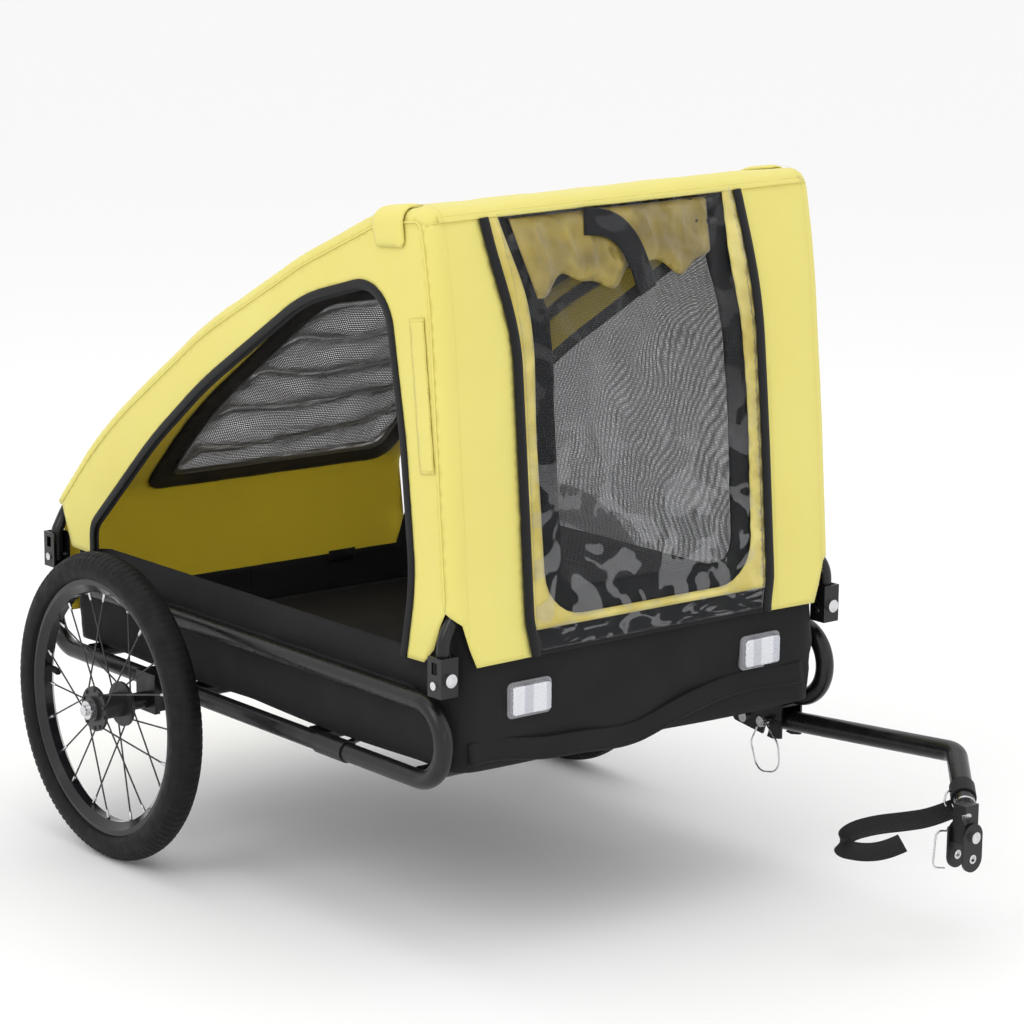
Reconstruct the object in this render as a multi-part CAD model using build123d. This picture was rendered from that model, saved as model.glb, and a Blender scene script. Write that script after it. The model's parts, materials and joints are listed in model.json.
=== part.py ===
from build123d import *
import math
import os

# Two-wheeled bicycle trailer with a fabric cabin on a folding tube frame.
# X points to the trailer's left, the tow end faces -Y, Z is up and Z = 0 is the ground.
# Shapes are drawn with the axle at Y = 0; save() moves them so that Y = 0 is mid-length.

# ---- driving dimensions, millimetres ----
AXLE_Y = 345.5            # axle position behind the middle of the overall length

WHEEL_R = 200.0           # 16-inch wheel
TYRE_R = 22.0             # tyre section radius
RIM_OUT = 166.0
RIM_IN = 149.0
RIM_WIDTH = 28.0
WHEEL_X = 378.0           # wheel centre plane
HUB_R = 16.0
HUB_BORE = 6.05
FLANGE_R = 29.0
FLANGE_X = 20.0           # flange distance from the wheel centre plane
SPOKES = 20
SPOKE_R = 1.1

RAIL_X = 305.0
RAIL_R = 11.5
RAIL_TOP = 317.0
RAIL_LOW = 223.0
RAIL_FRONT = -605.0       # foremost point of the rail centreline
RAIL_REAR = 250.0
SLEEVE_Y = -392.0
CROSS_R = 10.0
AXLE_R = 6.0
AXLE_TUBE_R = 11.0

FLOOR_Z = 236.0
TUB_TOP = 350.0
CLOTH_LOW = 361.0         # lower edge of the coloured cloth
TUB_X = 288.0
TUB_FRONT = -608.0
TUB_REAR = 231.0
CLOTH = 2.0

COVER_X = 300.0           # outer face of the side panels
PIVOT_X = 304.0           # feet of the two cabin bows
PIVOT_Z = 345.0           # height of the bows' fold axes
FOOT_FRONT = -602.0
FOOT_REAR = 244.0
BOW_R = 8.0
BOW_FOOT = 5.5            # how far a bow runs past its pivot
ROOF_BOW_X = 288.0
ROOF_BOW_INSET = 16.0     # bow centreline inside the cloth outline
FRONT_BOW_X = 269.0       # the front bow folds between the legs of the roof bow
FRONT_BOW_TOP = 842.0

# Side outline of the cabin as (y, z), from the front bottom corner round to the rear bottom.
OUTLINE = [(-620, 360), (-583, 790), (-563, 884), (-470, 872), (-319, 809), (-104, 700),
           (135, 540), (262, 412), (240, 262)]
OUTLINE_R = [900, 26, 90, 420, 700, 900, 30]

DOOR_X = 186.0            # zip lines
DOOR_LOW = 366.0
DOOR_TOP = 868.0

ARM_R = 13.0
ARM_PIVOT = (300.0, -487.0, 184.0)
ARM_BEND = (300.0, -838.0, 213.0)
ARM_END = (226.0, -922.0, 181.0)
STUD_R = 6.0

COUPLER = (215.0, -934.0)  # centre of the coupler, x and y
COUPLER_PIN_Z = 150.0
EYE_Z = 123.0
EYE_R = 3.2
EAR_GAP = 21.0
EAR_T = 3.0
EAR_W = 32.0

os.makedirs("parts", exist_ok=True)


def save(name, *solids):
    """Write one sub-part, moved into the trailer's frame."""
    made = [Pos(0, AXLE_Y, 0) * s for s in solids]
    shape = made[0] if len(made) == 1 else Compound(children=made)
    export_step(shape, f"parts/{name}.step")


def rod(a, b, r):
    """Solid round bar from a to b."""
    a, b = Vector(*a), Vector(*b)
    return extrude(Plane(origin=a, z_dir=b - a) * Circle(r), (b - a).length)


def tube(a, b, r, wall=1.6):
    return rod(a, b, r) - rod(a, b, r - wall)


def bent_tube(points, radii, r, wall=1.6):
    """Tube along straight runs joined by arcs."""
    path = FilletPolyline(*points, radius=radii)
    start = Plane(origin=path @ 0, z_dir=path % 0)
    return sweep(start * (Circle(r) - Circle(r - wall)), path=path)


def block(low, high):
    size = [h - l for l, h in zip(low, high)]
    mid = [(h + l) / 2 for l, h in zip(low, high)]
    return Pos(*mid) * Box(*size)


def ring_x(x, outer, inner, width):
    """Ring about the X axis at axle height."""
    hub = Plane(origin=(x - width / 2, 0, WHEEL_R), z_dir=(1, 0, 0))
    return extrude(hub * (Circle(outer) - Circle(inner)), width)


def side_outline(inset=0.0):
    """Cabin side outline as a face in the YZ plane."""
    line = FilletPolyline(*[(0, y, z) for y, z in OUTLINE], radius=OUTLINE_R)
    edge = Wire([*line.edges(), Line(line @ 1, line @ 0)])
    face = Face(edge)
    if face.normal_at().X < 0:
        face = -face
    if inset:
        face = offset(face, -inset, kind=Kind.INTERSECTION)
    return face


def across(face, x_low, x_high):
    """Extrude a YZ face between two X positions."""
    return extrude(Pos(x_low, 0, 0) * face, x_high - x_low, dir=(1, 0, 0))


def mirrored(solid):
    return mirror(solid, Plane.YZ)


# ---- wheels ----

def tyre():
    section = Plane.XZ * (Pos(0, WHEEL_R - TYRE_R) * Circle(TYRE_R))
    body = revolve(section, Axis.X)
    bed = extrude(Plane(origin=(-40, 0, 0), z_dir=(1, 0, 0)) * Circle(RIM_OUT), 80)
    return Pos(0, 0, WHEEL_R) * (body - bed)


def rim():
    half = RIM_WIDTH / 2
    outline = Polyline((-half, RIM_OUT), (half, RIM_OUT), (half, RIM_OUT - 7),
                       (6, RIM_IN), (-6, RIM_IN), (-half, RIM_OUT - 7), close=True)
    return Pos(0, 0, WHEEL_R) * revolve(Plane.XZ * make_face(outline), Axis.X)


def hub():
    barrel = ring_x(0, HUB_R, HUB_BORE, 2 * FLANGE_X + 14)
    for side in (-1, 1):
        barrel += ring_x(side * FLANGE_X, FLANGE_R, HUB_BORE, 4)
    return barrel


def spokes():
    """Crossed spokes from the hub flanges to the rim."""
    made = []
    for i in range(SPOKES):
        side = 1 if i % 2 else -1
        lean = 40 if (i // 2) % 2 else -40
        at_rim = math.radians(360 / SPOKES * i)
        at_hub = at_rim + math.radians(lean)
        inner, outer = FLANGE_R - 4, RIM_IN + 1.5
        a = (side * FLANGE_X, inner * math.cos(at_hub), WHEEL_R + inner * math.sin(at_hub))
        b = (side * 2.5, outer * math.cos(at_rim), WHEEL_R + outer * math.sin(at_rim))
        made.append(rod(a, b, SPOKE_R))
    return made


def hub_cap():
    cap = rod((27, 0, WHEEL_R), (33, 0, WHEEL_R), 12) + rod((33, 0, WHEEL_R), (38, 0, WHEEL_R), 7)
    return cap - rod((26, 0, WHEEL_R), (31, 0, WHEEL_R), AXLE_R + 0.5)


for side, x in (("right", -WHEEL_X), ("left", WHEEL_X)):
    flip = (lambda s: mirrored(s)) if x < 0 else (lambda s: s)
    place = Pos(x, 0, 0)
    save(f"{side}_tyre", place * flip(tyre()))
    save(f"{side}_rim", place * flip(rim()))
    save(f"{side}_hub", place * flip(hub()))
    save(f"{side}_spokes", *[place * flip(s) for s in spokes()])
    save(f"{side}_hub_cap", place * flip(hub_cap()))

# ---- base frame ----

RAIL_MID = (RAIL_TOP + RAIL_LOW) / 2
BEND_R = (RAIL_TOP - RAIL_LOW) / 2
FRONT_END = RAIL_FRONT + BEND_R
REAR_END = RAIL_REAR - BEND_R


def bend(y, forward):
    """Half ring that joins the upper and lower rails."""
    section = Plane(origin=(RAIL_X, y, RAIL_TOP), z_dir=(0, 1, 0)) * (Circle(RAIL_R) - Circle(RAIL_R - 1.6))
    axis = Axis((RAIL_X, y, RAIL_MID), (1, 0, 0) if forward else (-1, 0, 0))
    return revolve(section, axis, 180)


def rail(z):
    return tube((RAIL_X, FRONT_END, z), (RAIL_X, REAR_END, z), RAIL_R)


def corner_bracket(y, face):
    """Channel for the foot of a bow: two cheeks, a floor and an outer face; open towards the middle."""
    outer = block((PIVOT_X - 12.5, y - 12.5, 331), (PIVOT_X + 12.5, y + 12.5, 378))
    low, high = sorted((y + face * 10.3, y - face * 30))
    inner = block((PIVOT_X - 10.3, low, 333.5), (PIVOT_X + 10.3, high, 390))
    slot = block((PIVOT_X, y - 5, 358), (PIVOT_X + 30, y + 5, 372))
    pin = rod((PIVOT_X - 30, y, PIVOT_Z), (PIVOT_X + 30, y, PIVOT_Z), 3)
    screw = rod((PIVOT_X, y, 352), (PIVOT_X, y + face * 30, 352), 2.5)
    return outer - inner - slot - pin - screw


def pivot_pin(y):
    """Riveted pin along X through the cheeks of a bracket."""
    shank = rod((PIVOT_X - 14, y, PIVOT_Z), (PIVOT_X + 14, y, PIVOT_Z), 3)
    return shank + rod((PIVOT_X + 12.5, y, PIVOT_Z), (PIVOT_X + 14.5, y, PIVOT_Z), 5)


def face_screw(y, face):
    """Round-headed screw in the outer face of a bracket."""
    seat = y + face * 12.5
    shank = rod((PIVOT_X, y + face * 10.4, 352), (PIVOT_X, seat, 352), 2.5)
    return shank + rod((PIVOT_X, seat, 352), (PIVOT_X, seat + face * 4, 352), 8)


def axle_mount():
    """Plate pair that clamps the lower rail and carries the axle."""
    plate = block((RAIL_X - 16, -22, 184), (RAIL_X + 17, 22, RAIL_LOW + 13))
    plate -= rod((RAIL_X, -40, RAIL_LOW), (RAIL_X, 40, RAIL_LOW), RAIL_R + 0.05)
    plate -= block((RAIL_X - 9, -40, 170), (RAIL_X + 9, -12, 208))
    plate -= block((RAIL_X - 9, 12, 170), (RAIL_X + 9, 40, 208))
    return plate - rod((RAIL_X - 30, 0, 200), (RAIL_X + 30, 0, 200), AXLE_R)


for side, flip in (("right", mirrored), ("left", lambda s: s)):
    save(f"{side}_lower_rail", flip(rail(RAIL_LOW)))
    save(f"{side}_front_bend", flip(bend(FRONT_END, True)))
    save(f"{side}_rear_bend", flip(bend(REAR_END, False)))
    save(f"{side}_front_bracket", flip(corner_bracket(FOOT_FRONT, -1)))
    save(f"{side}_rear_bracket", flip(corner_bracket(FOOT_REAR, 1)))
    save(f"{side}_axle_mount", flip(axle_mount()))
    axle = rod((RAIL_X - 18, 0, WHEEL_R), (WHEEL_X + 30.5, 0, WHEEL_R), AXLE_R)
    axle += rod((RAIL_X + 17, 0, WHEEL_R), (WHEEL_X - 27.4, 0, WHEEL_R), 11)
    save(f"{side}_axle", flip(axle))

for name, made in (("pivot_pins", [pivot_pin(FOOT_FRONT), pivot_pin(FOOT_REAR)]),
                   ("bracket_screws", [face_screw(FOOT_FRONT, -1), face_screw(FOOT_REAR, 1)])):
    save(name, *made, *[mirrored(m) for m in made])

save("upper_rails", rail(RAIL_TOP), mirrored(rail(RAIL_TOP)))
sleeve = tube((RAIL_X, SLEEVE_Y - 28, RAIL_LOW), (RAIL_X, SLEEVE_Y + 28, RAIL_LOW), RAIL_R + 2, 2)
save("rail_sleeves", sleeve, mirrored(sleeve))


def cross_tube(y, z):
    reach = RAIL_X - RAIL_R
    return tube((-reach, y, z), (reach, y, z), CROSS_R)


for name, y in (("front", -545), ("middle", -330), ("rear", 180)):
    save(f"{name}_cross_tube", cross_tube(y, RAIL_LOW))
axle_reach = RAIL_X - 19
save("axle_cross_tube", tube((-axle_reach, 0, WHEEL_R), (axle_reach, 0, WHEEL_R), AXLE_TUBE_R))


def tie_rod():
    return rod((RAIL_X - 16, SLEEVE_Y, RAIL_LOW), (178, -330 - CROSS_R - 4.5, RAIL_LOW), 4)


save("tie_rods", tie_rod(), mirrored(tie_rod()))

# ---- tow bracket under the left front corner ----
CHEEK_X = 15.5            # inner face of each cheek from the arm's centre plane
LOCK_REACH = 40.0         # lock pin from the arm's pivot


def tow_bracket():
    """Inverted channel: two cheeks and a web, open below, with a curved notch for the lock pin."""
    x, y, z = ARM_PIVOT
    top = RAIL_LOW - RAIL_R
    cheek = Polyline((0, y + 36, top), (0, y - 66, top), (0, y - 66, z - 16), (0, y - 50, z - 19),
                     (0, y + 20, z - 9), (0, y + 36, z + 8), close=True)
    made = None
    for low in (x - CHEEK_X - 3, x + CHEEK_X):
        plate = extrude(Pos(low, 0, 0) * make_face(cheek), 3, dir=(1, 0, 0))
        made = plate if made is None else made + plate
    made += block((x - CHEEK_X - 3, y - 66, top - 3), (x + CHEEK_X + 3, y + 36, top))
    made -= rod((x - 40, y, z), (x + 40, y, z), 4)
    pin = lock_pin_centre()
    made -= rod((x - 40, pin.Y, pin.Z), (x + 40, pin.Y, pin.Z), 4.4)
    track = rod((x - 40, y, z), (x + 40, y, z), LOCK_REACH + 4.4)
    track -= rod((x - 41, y, z), (x + 41, y, z), LOCK_REACH - 4.4)
    return made - (track & block((x - 40, y - 60, z - 60), (x + 40, y, pin.Z)))


def arm_direction():
    return (Vector(*ARM_BEND) - Vector(*ARM_PIVOT)).normalized()


def lock_pin_centre():
    return Vector(*ARM_PIVOT) + arm_direction() * LOCK_REACH


save("tow_bracket", tow_bracket())
px, py, pz = ARM_PIVOT
bolt = rod((px - 22, py, pz), (px + 24, py, pz), 4) + rod((px - 24, py, pz), (px - 18.5, py, pz), 7)
save("tow_pivot_bolt", bolt + rod((px + 18.5, py, pz), (px + 24, py, pz), 7))

# ---- tow arm ----


def tow_tube():
    tail = Vector(*ARM_PIVOT) - arm_direction() * 8
    points = [tuple(tail), ARM_BEND, ARM_END]
    made = bent_tube(points, 34, ARM_R, 2)
    x, y, z = ARM_PIVOT
    pin = lock_pin_centre()
    made -= rod((x - 40, y, z), (x + 40, y, z), 4.05)
    return made - rod((x - 40, pin.Y, pin.Z), (x + 40, pin.Y, pin.Z), 4.05)


END_DIR = (Vector(*ARM_END) - Vector(*ARM_BEND)).normalized()
end = Vector(*ARM_END)
save("tow_tube", tow_tube())
plug = rod(tuple(end - END_DIR * 20), tuple(end), ARM_R - 2) + rod(tuple(end), tuple(end + END_DIR * 3), ARM_R)
stud_tip = end + END_DIR * 24
save("swivel_stud", plug + rod(tuple(end), tuple(stud_tip), STUD_R))

pin = lock_pin_centre()
shaft = rod((px - 26, pin.Y, pin.Z), (px + 27, pin.Y, pin.Z), 3.95)
save("lock_pin", shaft + rod((px - 31, pin.Y, pin.Z), (px - 26, pin.Y, pin.Z), 7))


def wire_loop(points, radii, r):
    path = FilletPolyline(*points, radius=radii)
    return sweep(Plane(origin=path @ 0, z_dir=path % 0) * Circle(r), path=path)


hang = pin.Z
wire_x = px - 28.5
save("lock_pin_wire", wire_loop(
    [(wire_x, pin.Y - 8.4, hang), (wire_x - 2, pin.Y - 34, hang - 22), (wire_x - 3, pin.Y - 40, hang - 58),
     (wire_x - 2, pin.Y + 2, hang - 66), (wire_x, pin.Y + 18, hang - 30), (wire_x, pin.Y + 7, hang - 8)],
    [18, 18, 18, 12], 1.2))

# ---- coupler ----
cx, cy = COUPLER


def knuckle():
    """Block that swivels on the stud and carries the coupler pin."""
    half = EAR_GAP / 2 - 0.3
    made = block((cx - 11, cy - half, COUPLER_PIN_Z - 10), (cx + 11, cy + half, 188))
    made -= rod(tuple(end + END_DIR * 3.3), tuple(end + END_DIR * 40), STUD_R + 0.05)
    made -= rod(tuple(end - END_DIR * 30), tuple(end + END_DIR * 3.3), ARM_R + 4)
    return made - rod((cx, cy - 30, COUPLER_PIN_Z), (cx, cy + 30, COUPLER_PIN_Z), 4.05)


def ear(y):
    """Coupler plate with round ends."""
    face = Plane(origin=(cx, y + EAR_T, (COUPLER_PIN_Z + EYE_Z) / 2), x_dir=(0, 0, 1), z_dir=(0, -1, 0))
    plate = extrude(face * SlotOverall(COUPLER_PIN_Z - EYE_Z + EAR_W, EAR_W), EAR_T)
    plate -= rod((cx, y - 5, COUPLER_PIN_Z), (cx, y + 9, COUPLER_PIN_Z), 4)
    return plate - rod((cx, y - 5, EYE_Z), (cx, y + 9, EYE_Z), 5.5)


def eye_bush(y):
    return rod((cx, y - 0.8, EYE_Z), (cx, y + EAR_T + 0.8, EYE_Z), 5.5) \
        - rod((cx, y - 5, EYE_Z), (cx, y + 9, EYE_Z), EYE_R)


near, far = cy - EAR_GAP / 2 - EAR_T, cy + EAR_GAP / 2
save("knuckle", knuckle())
save("coupler_plates", ear(near), ear(far))
save("coupler_eye_bushes", eye_bush(near), eye_bush(far))
coupler_pin = rod((cx, near - 3, COUPLER_PIN_Z), (cx, far + EAR_T + 12, COUPLER_PIN_Z), 4)
save("coupler_pin", coupler_pin + rod((cx, near - 5, COUPLER_PIN_Z), (cx, near, COUPLER_PIN_Z), 7))
wire_y = far + EAR_T + 8
save("coupler_pin_wire", wire_loop(
    [(cx - 5.3, wire_y, COUPLER_PIN_Z), (cx - 26, wire_y, COUPLER_PIN_Z + 4), (cx - 30, wire_y, COUPLER_PIN_Z - 40),
     (cx - 12, wire_y - 2, COUPLER_PIN_Z - 44)], [8, 8], 1.2))

# ---- webbing safety strap, wrapped round the arm and hanging free at its end ----
STRAP_W = 25.0
STRAP_T = 2.0
collar_mid = end - END_DIR * 26
collar = rod(tuple(collar_mid - END_DIR * STRAP_W / 2), tuple(collar_mid + END_DIR * STRAP_W / 2), ARM_R + 2.4)
collar -= rod(tuple(collar_mid - END_DIR * 30), tuple(collar_mid + END_DIR * 30), ARM_R + 0.05)
save("strap_collar", collar)

# Route of the free strap from the collar: out to the right, round a fold and back to its tip.
STRAP_ROUTE = [(226, -904, 172), (204, -891, 162), (177, -874, 158), (149, -855, 155), (124, -839, 148),
               (109, -834, 138), (109, -843, 129), (126, -861, 126), (146, -877, 130), (161, -886, 138)]


def free_tube(route, r):
    """Tube along a free route, each arc as large as its runs allow."""
    radii = []
    for a, b, c in zip(route, route[1:], route[2:]):
        a, b, c = Vector(*a), Vector(*b), Vector(*c)
        turn = math.radians((b - a).get_angle(c - b))
        radii.append(0.45 * min((b - a).length, (c - b).length) / math.tan(turn / 2))
    print("strap arc radii", [round(x, 1) for x in radii])
    path = FilletPolyline(*route, radius=radii)
    made = sweep(Plane(origin=path @ 0, z_dir=path % 0) * Circle(r), path=path)
    print("strap length", round(path.length, 1), "volume ratio", round(made.volume / (path.length * math.pi * r * r), 3))
    return made


save("safety_strap", free_tube(STRAP_ROUTE, 3.5) - rod(
    tuple(collar_mid - END_DIR * 40), tuple(collar_mid + END_DIR * 40), ARM_R + 2.45))

# ---- fabric tub ----


def tub():
    outer = block((-TUB_X, TUB_FRONT, FLOOR_Z), (TUB_X, TUB_REAR, TUB_TOP))
    inner = block((-TUB_X + 3, TUB_FRONT + 3, FLOOR_Z + 4), (TUB_X - 3, TUB_REAR - 3, TUB_TOP + 9))
    low_back = block((-TUB_X - 1, TUB_REAR - 9, 262), (TUB_X + 1, TUB_REAR + 9, TUB_TOP + 9))
    return outer - inner - low_back


save("floor_tub", tub())


def reflector(x):
    """Domed reflector lens."""
    lens = extrude(Plane(origin=(x, TUB_FRONT - 4.2, 312), x_dir=(1, 0, 0), z_dir=(0, -1, 0))
                   * RectangleRounded(58, 36, 5), 7)
    return fillet(lens.faces().sort_by(Axis.Y)[0].edges(), 3)


def reflector_frame(x):
    plate = Plane(origin=(x, TUB_FRONT - 0.2, 312), x_dir=(1, 0, 0), z_dir=(0, -1, 0))
    return extrude(plate * RectangleRounded(66, 43, 7), 4)


save("reflector_lenses", reflector(-184), reflector(184))
save("reflector_frames", reflector_frame(-184), reflector_frame(184))

# ---- cabin cloth ----


def skin():
    inner_x = COVER_X - CLOTH - 0.5
    shell = across(side_outline(), -inner_x, inner_x) - across(side_outline(CLOTH), -inner_x - 5, inner_x + 5)
    shell -= block((-400, -650, 200), (400, 220, CLOTH_LOW))
    for side in (-1, 1):
        for y in (FOOT_FRONT, FOOT_REAR):
            shell -= Pos(side * PIVOT_X, y, 342) * Box(36, 76, 166)
    return shell - block((-400, 200, 200), (400, 300, 268.5))


SPLIT_Y = -558.0
whole = skin()
front_zone = block((-400, -700, 200), (400, SPLIT_Y, 900))
door_hole = block((-DOOR_X, -700, 200), (DOOR_X, SPLIT_Y, DOOR_TOP))
window_hole = block((-236, -60, 414.5), (236, 320, 700))
save("front_panel", (whole & front_zone) - door_hole)
roof = (whole - front_zone) - window_hole
save("roof_panel", roof)
lower_window = block((-235.5, -59.5, 415), (235.5, 320, 700))
save("rear_window_mesh", (whole - front_zone) & lower_window)

door = (whole & front_zone) & block((-DOOR_X + 0.4, -700, 200), (DOOR_X - 0.4, SPLIT_Y, DOOR_TOP - 4))
pane = block((-DOOR_X + 36, -700, 405), (DOOR_X - 36, SPLIT_Y, 840))
save("door_border", door - pane)
save("door_mesh", door & block((-DOOR_X + 36.4, -700, 405.4), (DOOR_X - 36.4, SPLIT_Y, 839.6)))
cover = Pos(0, -5, 0) * (door & block((-DOOR_X + 12, -700, 372), (DOOR_X - 12, SPLIT_Y - 4, 852)))
save("rain_cover", cover)


def side_window():
    """Opening in a side panel: follows the roof line, upright at the front."""
    line = FilletPolyline((0, -532, CLOTH_LOW - 4), (0, -498, 786), (0, -326, 762), (0, -110, 632),
                          (0, 152, 440), (0, 160, CLOTH_LOW - 4), radius=[60, 110, 900, 34])
    return Face(Wire([*line.edges(), Line(line @ 1, line @ 0)]))


def side_panel():
    panel = across(side_outline(), COVER_X - CLOTH, COVER_X)
    panel -= block((0, -700, 100), (400, 400, CLOTH_LOW))
    for y in (FOOT_FRONT, FOOT_REAR):
        panel -= Pos(COVER_X, y, 350) * Box(34, 60, 150)
    return panel - across(side_window(), COVER_X - 9, COVER_X + 9)


def inset_line(points, distance):
    """The corners of an open outline moved inwards, each run kept parallel."""
    runs = []
    for (y0, z0), (y1, z1) in zip(points, points[1:]):
        length = math.hypot(y1 - y0, z1 - z0)
        dy, dz = (y1 - y0) / length, (z1 - z0) / length
        runs.append((y0 + dz * distance, z0 - dy * distance, dy, dz))
    corners = []
    for (ya, za, ua, va), (yb, zb, ub, vb) in zip(runs, runs[1:]):
        t = ((yb - ya) * vb - (zb - za) * ub) / (ua * vb - va * ub)
        corners.append((ya + ua * t, za + va * t))
    return corners


def both_sides(points):
    return points + [(-x, y, z) for x, y, z in reversed(points)]


def drill_feet(bow, y):
    return bow - rod((-400, y, PIVOT_Z), (400, y, PIVOT_Z), 3.05)


def roof_bow():
    """Tube from the rear feet along both roof edges, joined across the top front edge."""
    line = list(reversed(inset_line(OUTLINE, ROOF_BOW_INSET)))[:-1]
    foot = [(PIVOT_X, FOOT_REAR, PIVOT_Z - BOW_FOOT), (PIVOT_X, FOOT_REAR, 378)]
    side = foot + [(ROOF_BOW_X, y, z) for y, z in line]
    bends = [20, 28, 700, 600, 360, 70]
    radii = bends + [24, 24] + list(reversed(bends))
    return drill_feet(bent_tube(both_sides(side), radii, BOW_R), FOOT_REAR)


def front_bow():
    """Tube from the front feet up behind the front panel and across below the roof bow."""
    side = [(PIVOT_X, FOOT_FRONT, PIVOT_Z - BOW_FOOT), (PIVOT_X, FOOT_FRONT, 396), (FRONT_BOW_X, -598, 446),
            (FRONT_BOW_X, -556, FRONT_BOW_TOP)]
    return drill_feet(bent_tube(both_sides(side), [40, 40, 30, 30, 40, 40], BOW_R), FOOT_FRONT)


for side, flip in (("right", mirrored), ("left", lambda s: s)):
    save(f"{side}_side_panel", flip(side_panel()))
save("roof_bow", roof_bow())
save("front_bow", front_bow())
mesh = across(offset(side_window(), -0.5), COVER_X - CLOTH, COVER_X - CLOTH + 1)
save("left_window_mesh", mesh - block((0, -700, 100), (400, 400, CLOTH_LOW)))
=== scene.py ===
import json
import math
import bpy
import numpy as np
from mathutils import Matrix, Vector, noise
from mathutils.geometry import delaunay_2d_cdt


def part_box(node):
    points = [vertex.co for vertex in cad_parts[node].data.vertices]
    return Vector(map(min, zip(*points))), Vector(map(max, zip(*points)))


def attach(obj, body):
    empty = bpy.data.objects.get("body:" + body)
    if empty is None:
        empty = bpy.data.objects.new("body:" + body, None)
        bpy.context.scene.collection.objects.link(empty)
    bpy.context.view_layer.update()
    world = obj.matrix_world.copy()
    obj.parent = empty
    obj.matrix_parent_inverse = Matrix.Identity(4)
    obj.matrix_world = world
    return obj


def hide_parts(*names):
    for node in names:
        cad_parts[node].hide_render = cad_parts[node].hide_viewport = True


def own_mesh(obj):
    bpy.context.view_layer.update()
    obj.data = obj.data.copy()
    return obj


# Bicycle trailer: cloth, nets, clear film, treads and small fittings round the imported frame.
# Metres. The drawing frame has its Y = 0 on the wheel axle; at() turns it into the row frame.

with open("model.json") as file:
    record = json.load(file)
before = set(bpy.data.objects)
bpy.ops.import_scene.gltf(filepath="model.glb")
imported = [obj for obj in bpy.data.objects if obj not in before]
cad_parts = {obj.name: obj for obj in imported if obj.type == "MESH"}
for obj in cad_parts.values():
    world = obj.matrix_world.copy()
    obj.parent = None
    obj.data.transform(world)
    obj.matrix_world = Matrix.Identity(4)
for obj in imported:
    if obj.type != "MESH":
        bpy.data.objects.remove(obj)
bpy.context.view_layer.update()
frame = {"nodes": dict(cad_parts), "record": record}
nodes = frame["nodes"]


def middle(node):
    low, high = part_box(node)
    return (low + high) / 2


AXLE = middle("right_hub_cap")
AXLE_Y, AXLE_Z = AXLE.y, AXLE.z
WHEEL_X = abs(middle("right_rim").x)
COVER_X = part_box("left_side_panel")[1].x
CLOTH_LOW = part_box("left_side_panel")[0].z
TUB_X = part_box("floor_tub")[1].x
TUB_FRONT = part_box("floor_tub")[0].y - AXLE_Y
TUB_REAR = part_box("floor_tub")[1].y - AXLE_Y
FLOOR_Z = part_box("floor_tub")[0].z


def at(x, y, z):
    """A point given from the axle, in the row frame."""
    return Vector((x, y + AXLE_Y, z))


# ---- camera, as fitted to the photo ----

CAMERA_PLACE = (-2.413, -3.314, 1.262)       # from the axle
CAMERA_TURNS = (-39.155, 11.77, 0.52)        # azimuth, elevation and roll in degrees
LENS, SENSOR = 109.54, 36                    # millimetres


def add_camera():
    azimuth, elevation, roll = [math.radians(turn) for turn in CAMERA_TURNS]
    back = Vector((math.sin(azimuth) * math.cos(elevation), -math.cos(azimuth) * math.cos(elevation),
                   math.sin(elevation)))
    right = Vector((math.cos(azimuth), math.sin(azimuth), 0))
    up = back.cross(right)
    turned = math.cos(roll) * right + math.sin(roll) * up
    upright = -math.sin(roll) * right + math.cos(roll) * up
    data = bpy.data.cameras.new("camera")
    data.lens, data.sensor_width = LENS, SENSOR
    camera = bpy.data.objects.new("camera", data)
    bpy.context.scene.collection.objects.link(camera)
    place = Matrix((turned, upright, back)).transposed().to_4x4()
    camera.matrix_world = Matrix.Translation(at(*CAMERA_PLACE)) @ place
    bpy.context.scene.camera = camera


add_camera()


# ---- materials ----

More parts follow.
